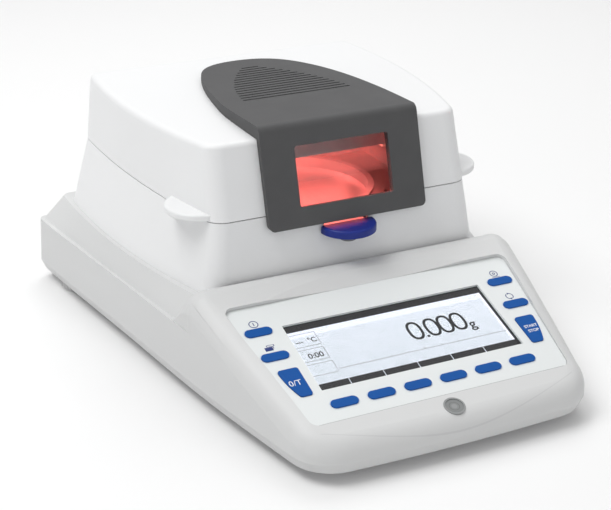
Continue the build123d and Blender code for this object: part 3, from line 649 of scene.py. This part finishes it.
# Display: a backlit liquid-crystal panel under the foil's clear window. The picture is its
# own dark segments: a title bar, a weight read-out, three small fields and a scale.
screen_half = 62.4
screen_low = 11.8
screen_high = 63.0
screen_lift = -1.17
title_height = 5.2
side_bar = 1.6
field_bar = (11.9, 16.9)
field_cuts = (-44.3, -23.4, -2.2, 18.7, 39.6)
field_gap = 0.45
digit_power = 2.4
digit_half = (3.7, 6.4)
digit_weight = 1.6
digit_v = 39.6
digit_places = (8.7, 19.6, 28.1, 36.6)
point_offset = (5.6, 0.3)
point_size = 0.85
point_power = 2.6
frame_stroke = 0.3
field_end_gap = 0.6
lcd_finish = Finish("display_backlight", Roughness=0.6, Emission_Strength=1.22)
lamp_cloud = lcd_finish.noise(40, 2)
lcd_finish.feed(
    Base_Color=lcd_finish.blend(lamp_cloud, (0.09, 0.095, 0.10, 1), (0.10, 0.105, 0.11, 1)),
    Emission_Color=lcd_finish.blend(lamp_cloud, (0.80, 0.825, 0.93, 1), (0.81, 0.835, 0.94, 1)),
)
dress(lcd_finish, "lcd_module")
segment_ink = flat_colour("segment_black", (0.024, 0.024, 0.026, 1), (0.016, 0.016, 0.018, 1), 0.5)
field_edges = [-screen_half] + list(field_cuts) + [screen_half - field_end_gap]
fields = []
for left, right in zip(field_edges, field_edges[1:]):
    fields.append(bar(left + field_gap / 2, field_bar[0], right - field_gap / 2, field_bar[1]))
laid_patches(
    "display_bars",
    [
        bar(-screen_half, screen_high - title_height, screen_half, screen_high),
        bar(screen_half - side_bar, screen_low, screen_half, screen_high - title_height),
    ]
    + fields,
    segment_ink,
    screen_lift,
)
digits = []
for u in digit_places:
    digits.append(rim_pair(u, digit_v, digit_half[0], digit_half[1], digit_weight, digit_power))
point_u = digit_places[0] + point_offset[0]
point_v = digit_v - digit_half[1] + point_offset[1]
digits.append(ellipse(point_u, point_v, point_size, point_size, point_power))
laid_patches("display_digits", digits, segment_ink, screen_lift)
pale_ink = flat_colour("segment_grey", (0.30, 0.31, 0.33, 1), (0.24, 0.25, 0.27, 1), 0.5)
frames = []
for left, low, right, high in (
    (-screen_half, 45.4, -46.6, 55.6),
    (-screen_half, 34.0, -46.8, 43.4),
    (-screen_half, 23.0, -46.6, 32.0),
):
    hole = bar(left + frame_stroke, low + frame_stroke, right - frame_stroke, high - frame_stroke)
    frames.append((bar(left, low, right, high), hole))
laid_patches("display_frames", frames, pale_ink, screen_lift)
words(
    "display_values",
    [
        ("---  °C", -54.2, 49.6, 4.9, screen_lift),
        ("0:00", -53.6, 37.8, 5.4, screen_lift),
        ("g", 43.4, 35.2, 9.4, screen_lift),
    ],
    segment_ink,
    weight=0.016,
)

# Scale under the read-out: a hairline of the display's own grey segments, with a tick at
# every tenth and a longer one at half.
scale_start = -45.4
scale_end = 60.2
scale_v = 24.9
tick_pitch = 10.6
tick_count = 10
tick_width = 0.3
tick_height = 1.1
line_width = 0.3
half_tick_u = 7.2
half_tick_rise = (0.2, 2.2)


def tree_of(name, sizes):
    """A Geometry Nodes tree with its named sizes as inputs and one mesh out."""
    tree = bpy.data.node_groups.new(name, "GeometryNodeTree")
    for size, kind in sizes:
        tree.interface.new_socket(name=size, in_out="INPUT", socket_type=kind)
    tree.interface.new_socket(name="Geometry", in_out="OUTPUT", socket_type="NodeSocketGeometry")
    return tree, tree.nodes.new("NodeGroupInput"), tree.nodes.new("NodeGroupOutput")


def add_step(tree, kind, settings, **links):
    """Adds one geometry node; links name its inputs, with underscores for spaces."""
    made = tree.nodes.new(kind)
    for name, value in settings.items():
        setattr(made, name, value)
    for name, value in links.items():
        socket = made.inputs[name.replace("_", " ")]
        if isinstance(value, bpy.types.NodeSocket):
            tree.links.new(value, socket)
        else:
            socket.default_value = value
    return made


def grown(name, tree, values, finish, body):
    """Evaluates a tree with its sizes set, and keeps the result as a plain mesh."""
    seed = bpy.data.meshes.new(name)
    holder = bpy.data.objects.new(name, seed)
    scene.collection.objects.link(holder)
    maker = holder.modifiers.new("maker", "NODES")
    maker.node_group = tree
    for item in tree.interface.items_tree:
        if item.in_out == "INPUT" and item.name in values:
            maker[item.identifier] = values[item.name]
    bpy.context.view_layer.update()
    ready = holder.evaluated_get(bpy.context.evaluated_depsgraph_get())
    mesh = bpy.data.meshes.new_from_object(ready)
    holder.modifiers.remove(maker)
    bpy.data.objects.remove(holder)
    mesh.name = name
    return finish_object(name, mesh, finish, body)


def row_tree(name, finish):
    """A row of equal bars, a pitch apart along X."""
    sizes = [("Count", "NodeSocketInt")]
    sizes += [(size, "NodeSocketVector") for size in ("Pitch", "Start", "Bar")]
    tree, given, out = tree_of(name, sizes)
    line = add_step(
        tree,
        "GeometryNodeMeshLine",
        {"mode": "OFFSET"},
        Count=given.outputs["Count"],
        Start_Location=given.outputs["Start"],
        Offset=given.outputs["Pitch"],
    )
    block = add_step(tree, "GeometryNodeMeshCube", {}, Size=given.outputs["Bar"])
    placed = add_step(
        tree, "GeometryNodeInstanceOnPoints", {}, Points=line.outputs["Mesh"], Instance=block.outputs["Mesh"]
    )
    real = add_step(tree, "GeometryNodeRealizeInstances", {}, Geometry=placed.outputs["Instances"])
    coat = add_step(tree, "GeometryNodeSetMaterial", {}, Geometry=real.outputs["Geometry"])
    coat.inputs["Material"].default_value = finish.material
    tree.links.new(coat.outputs["Geometry"], out.inputs["Geometry"])
    return tree


ticks = grown(
    "display_scale",
    row_tree("scale_ticks", pale_ink),
    {
        "Count": tick_count,
        "Pitch": (tick_pitch, 0, 0),
        "Start": (scale_start, scale_v + tick_height / 2, screen_lift - print_depth),
        "Bar": (tick_width, tick_height, print_depth),
    },
    pale_ink,
    "base",
)
for vertex in ticks.data.vertices:
    vertex.co = on_panel(vertex.co.x, vertex.co.y, vertex.co.z)
laid_patches(
    "display_scale_line",
    [
        bar(scale_start, scale_v - line_width / 2, scale_end, scale_v + line_width / 2),
        bar(
            half_tick_u - tick_width / 2,
            scale_v + half_tick_rise[0],
            half_tick_u + tick_width / 2,
            scale_v + half_tick_rise[1],
        ),
    ],
    pale_ink,
    screen_lift,
)

# Display pane: a hard-coated clear window, flush in the foil, that lets the picture show
# with only a faint sheen over it.
pane_finish = Finish(
    "clear_pane", Base_Color=(0.5, 0.52, 0.55, 1), Alpha=0.02, Specular_IOR_Level=0.05
)
smear = pane_finish.noise(30, 3)
pane_finish.feed(Roughness=smear * 0.06 + 0.3)
dress(pane_finish, "display_window")

# Level: a round vial of tinted spirit in a grey ring, with a printed target circle and a bubble at rest in the
# middle of it. The bubble is painted as a paler disc, a painted highlight.
ring_finish = moulded("level_ring_grey", (0.30, 0.31, 0.31, 1), (0.25, 0.26, 0.26, 1), 0.45, 0.1)
dress(ring_finish, "level_ring")
vial_centre = on_panel(0, -20.4)
target_radii = (0.0027, 0.0030)
bubble_highlight_radius = 0.0017
vial_finish = Finish("level_spirit", Roughness=0.12, Coat_Weight=0.6)
centred = vial_finish.node(
    "ShaderNodeVectorMath",
    {"operation": "DISTANCE"},
    {0: vial_finish.place, 1: tuple(vial_centre)},
    "Value",
)
target_line = (centred > target_radii[0]) * (centred < target_radii[1])
# The bubble's paler disc is a painted highlight.
bubble_highlight = centred < bubble_highlight_radius
spirit = vial_finish.blend(vial_finish.noise(60, 2), (0.20, 0.21, 0.21, 1), (0.26, 0.27, 0.27, 1))
with_bubble_highlight = vial_finish.blend(bubble_highlight, spirit, (0.30, 0.31, 0.31, 1))
vial_finish.feed(Base_Color=vial_finish.blend(target_line, with_bubble_highlight, (0.14, 0.14, 0.14, 1)))
dress(vial_finish, "level_vial")

# Chamber shells: the leaning lower shell of the drying chamber and the hood with its two
# lifting tabs, moulded in one white. The lower one holds a folded steel floor and a ring
# against draughts.
shell_finish = moulded("chamber_white", (0.85, 0.855, 0.86, 1), (0.82, 0.825, 0.83, 1), 0.44, 0.07)
dress(shell_finish, "lower_chamber", "hood_shell", "lift_tab_left", "lift_tab_right")
dress(steel_finish, "chamber_floor", "draft_shield")

# Pan handler: a laser-cut steel arm with a ring under the pan, with a moulded blue grip in front and a small dark
# grey turned disc below it.
grip_finish = Finish("grip_blue", Roughness=0.4, Specular_IOR_Level=0.35)
grip_finish.feed(
    Base_Color=grip_finish.blend(grip_finish.noise(90, 3), (0.006, 0.02, 0.20, 1), (0.01, 0.028, 0.26, 1))
)
grip_finish.bump(grip_finish.noise(1500, 2), 0.05, 0.0002)
dress(grip_finish, "handler_grip")
dress(steel_finish, "pan_handler_arm")
dark_disc_finish = moulded("dark_disc_grey", (0.17, 0.17, 0.18, 1), (0.14, 0.14, 0.15, 1), 0.5, 0.1)
dark_disc_centre = (-3.0, -37.5)
dark_disc_profile = ((4.6, 81.82), (5.2, 81.2), (5.2, 79.8), (4.6, 78.7), (3.4, 78.2))
dark_disc_sides = 40
turned = bmesh.new()
rings = []
for radius, height in dark_disc_profile:
    ring = []
    for index in range(dark_disc_sides):
        turn = 2 * math.pi * index / dark_disc_sides
        x = dark_disc_centre[0] + radius * math.cos(turn)
        y = dark_disc_centre[1] + radius * math.sin(turn)
        ring.append(turned.verts.new((x * mm, y * mm, height * mm)))
    rings.append(ring)
for upper, lower in zip(rings, rings[1:]):
    for index in range(dark_disc_sides):
        after = (index + 1) % dark_disc_sides
        turned.faces.new((upper[index], upper[after], lower[after], lower[index]))
turned.faces.new(rings[0])
turned.faces.new(rings[-1])
bmesh.ops.recalc_face_normals(turned, faces=turned.faces)
dark_disc_mesh = bpy.data.meshes.new("handler_dark_disc")
turned.to_mesh(dark_disc_mesh)
turned.free()
finish_object("handler_dark_disc", dark_disc_mesh, dark_disc_finish, "base")

# Hood seal: a grey silicone bead in the joint between the two shells, which keeps the
# heater's light in. It is a closed loop, cast in one piece and bonded to the hood.
chamber_front = -27.5
chamber_middle = 80.5
chamber_rear = 152.5
chamber_halves = (81.5, 97, 97)
chamber_corners = (11, 6)
joint_low = 96.62
joint_high = 97.18
seal_inset = (0.9, 2.4)
corner_points = 4


def bowed_side(inset, points=24):
    """The right side of the chamber's level section, an arc through three points."""
    near, middle, far = (half - inset for half in chamber_halves)
    start, end = chamber_front + inset, chamber_rear - inset
    (ax, ay), (bx, by), (cx, cy) = (near, start), (middle, chamber_middle), (far, end)
    d = 2 * (ax * (by - cy) + bx * (cy - ay) + cx * (ay - by))
    a2, b2, c2 = ax * ax + ay * ay, bx * bx + by * by, cx * cx + cy * cy
    ox = (a2 * (by - cy) + b2 * (cy - ay) + c2 * (ay - by)) / d
    oy = (a2 * (cx - bx) + b2 * (ax - cx) + c2 * (bx - ax)) / d
    radius = math.hypot(ax - ox, ay - oy)
    first = math.atan2(ay - oy, ax - ox)
    last = math.atan2(cy - oy, cx - ox)
    side = []
    for index in range(points + 1):
        turn = first + (last - first) * index / points
        side.append((ox + radius * math.cos(turn), oy + radius * math.sin(turn)))
    return side


def cut_back(corner, place, radius):
    """The point on the way from a corner to a place, a radius from the corner."""
    share = radius / math.dist(corner, place)
    return tuple(c + (p - c) * share for c, p in zip(corner, place))


def softened(corner, before, after, radius, points=5):
    """A corner of a loop, cut back and rounded with a curve of its own."""
    start, end = cut_back(corner, before, radius), cut_back(corner, after, radius)
    curve = []
    for index in range(points + 1):
        t = index / points
        near, middle, far = (1 - t) ** 2, 2 * t * (1 - t), t * t
        curve.append(tuple(near * s + middle * c + far * e for s, c, e in zip(start, corner, end)))
    return curve


def chamber_loop(inset):
    """The chamber's whole level section, counter-clockwise, with its four round corners."""
    right = bowed_side(inset)
    left = [(-x, y) for x, y in reversed(right)]
    front_radius, rear_radius = (radius - inset for radius in chamber_corners)
    first = chamber_front + front_radius + inset
    last = chamber_rear - rear_radius - inset
    loop = softened(right[0], left[-1], right[corner_points], front_radius)
    loop += [place for place in right if first < place[1] < last]
    loop += softened(right[-1], right[-corner_points], left[0], rear_radius)
    loop += softened(left[0], right[-1], left[corner_points - 1], rear_radius)
    loop += [place for place in left if first < place[1] < last]
    loop += softened(left[-1], left[-corner_points - 1], right[0], front_radius)
    return loop


seal_finish = moulded("seal_silicone", (0.10, 0.10, 0.10, 1), (0.07, 0.07, 0.07, 1), 0.7, 0.1)
seal_mesh = bpy.data.meshes.new("hood_seal")
bead = bmesh.new()
rims = []
seal_section = (
    (seal_inset[0], joint_low),
    (seal_inset[0], joint_high),
    (seal_inset[1], joint_high),
    (seal_inset[1], joint_low),
)
for inset, height in seal_section:
    rims.append([bead.verts.new((x * mm, y * mm, height * mm)) for x, y in chamber_loop(inset)])
for low, high in zip(rims, rims[1:] + rims[:1]):
    for index in range(len(low)):
        after = (index + 1) % len(low)
        bead.faces.new((low[index], low[after], high[after], high[index]))
bmesh.ops.recalc_face_normals(bead, faces=bead.faces)
bead.to_mesh(seal_mesh)
bead.free()
finish_object("hood_seal", seal_mesh, seal_finish, "hood")

# Heater: two halogen tubes in ceramic ends under a polished, lightly dimpled aluminium
# reflector. Their filament is a close coil, which bands the light along each tube.
reflector_finish = Finish("dimpled_reflector", Metallic=1.0, Roughness=0.32)
dimple = reflector_finish.noise(160, 4)
reflector_finish.feed(Base_Color=reflector_finish.blend(dimple, (0.82, 0.80, 0.80, 1), (0.96, 0.95, 0.95, 1)))
reflector_finish.bump(dimple, 0.25, 0.002)
dress(reflector_finish, "reflector")
coil_bands = 2600
lamp_finish = Finish("halogen_tube", Base_Color=(0.9, 0.2, 0.15, 1), Roughness=0.1, Emission_Strength=6.0)
along_tube = lamp_finish.axes()[0]
wound = along_tube * coil_bands
coil = wound.maths("SINE", wound) * 0.5 + 0.5
lamp_finish.feed(Emission_Color=lamp_finish.blend(coil, (1.0, 0.06, 0.05, 1), (1.0, 0.34, 0.29, 1)))
dress(lamp_finish, "heater_lamps")
ceramic_finish = Finish("socket_ceramic", Roughness=0.6)
ceramic_finish.feed(
    Base_Color=ceramic_finish.blend(ceramic_finish.noise(80, 3), (0.66, 0.62, 0.56, 1), (0.76, 0.73, 0.68, 1))
)
ceramic_finish.bump(ceramic_finish.noise(900, 2), 0.15, 0.0003)
dress(ceramic_finish, "lamp_sockets")
dress(steel_finish, "heater_frame", "heater_posts", "temperature_probe")
guard_finish = Finish("guard_glass", Base_Color=(1, 1, 1, 1), Alpha=0.08, Specular_IOR_Level=0.5)
guard_finish.feed(Roughness=guard_finish.noise(30, 3) * 0.06 + 0.03)
dress(guard_finish, "lamp_guard")

# Dark cover: charcoal glass-filled nylon that carries the window and runs back over the
# crown as a louvred tongue, seated on the hood with a clipped edge.
cover_finish = Finish("charcoal_nylon", Roughness=0.62, Specular_IOR_Level=0.22)
cover_finish.feed(
    Base_Color=cover_finish.blend(cover_finish.noise(60, 4), (0.082, 0.082, 0.084, 1), (0.102, 0.102, 0.104, 1))
)
cover_finish.bump(cover_finish.noise(1800, 2), 0.12, 0.0003)
dress(cover_finish, "hood_cover")

# Window: a red-tinted pane of heat-proof glass, bonded in behind the cover's opening.
# Little of it shows beyond its tint, so that the lit chamber can be watched.
window_finish = Finish("window_pane", Base_Color=(0.30, 0.01, 0.01, 1), Alpha=0.06, Specular_IOR_Level=0.25)
window_finish.feed(Roughness=window_finish.noise(30, 3) * 0.06 + 0.03)
dress(window_finish, "window_glass")

# Hinges: two folded steel brackets on the base and two steel knuckles on the hood, which
# turn on plain pins.
dress(steel_finish, "hinge_brackets", "hinge_pins", "hinge_knuckles")
